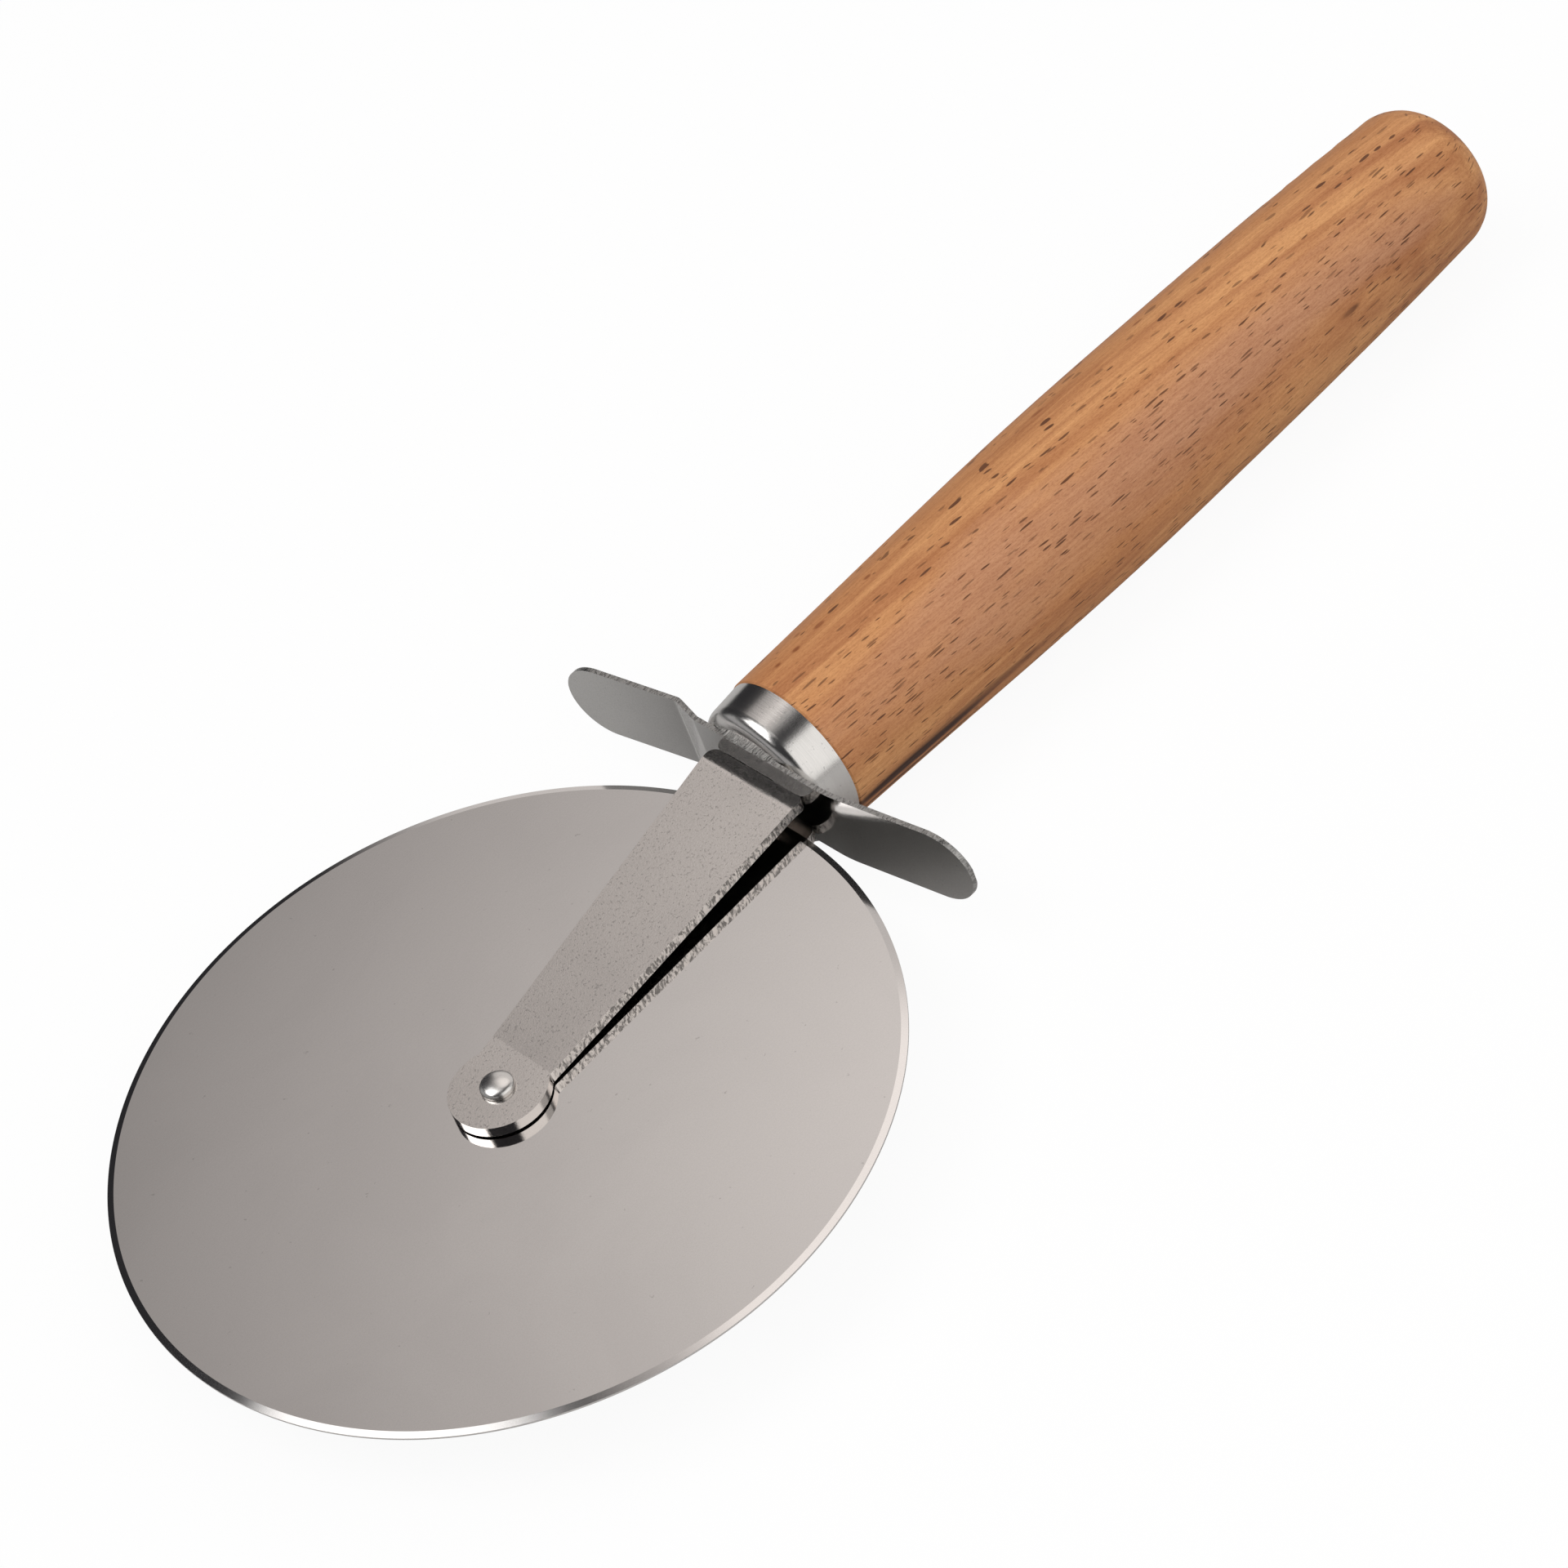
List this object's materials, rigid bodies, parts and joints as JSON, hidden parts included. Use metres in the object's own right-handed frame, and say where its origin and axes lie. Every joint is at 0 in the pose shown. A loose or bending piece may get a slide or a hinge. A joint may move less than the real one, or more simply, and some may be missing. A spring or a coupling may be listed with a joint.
{
  "type": "pizza cutter",
  "caption": "Pizza cutter: thin steel wheel on a riveted two-arm fork, with a bent thumb guard, a steel ferrule and a turned wooden handle.",
  "frame": {"origin": "middle of the flat end of the handle's butt", "axes": "+X along the handle's axis towards the wheel, +Z square to the wheel on the side of the front arm, +Y the side that the fork leans to"},
  "size_m": [0.2325, 0.1, 0.0244],
  "materials": {
    "beech": "turned and lightly oiled",
    "ferrule_steel": "drawn, satin",
    "guard_steel": "soft polish",
    "arm_steel": "tumbled, matte",
    "wheel_steel": "mirror polish",
    "rivet_steel": "polished"
  },
  "bodies": {
    "fork_and_handle": {"handle": "beech", "ferrule": "ferrule_steel", "thumb_guard": "guard_steel", "front_arm": "arm_steel", "rear_arm": "arm_steel", "pivot_rivet": "rivet_steel", "pivot_bush": "rivet_steel"},
    "wheel": {"wheel_blade": "wheel_steel"}
  },
  "joints": [
    {"name": "wheel_spin", "type": "hinge", "parent": "fork_and_handle", "child": "wheel", "pos_m": [0.1825, 0.0095, 0], "axis": [0, 0, 1], "continuous": true}
  ]
}
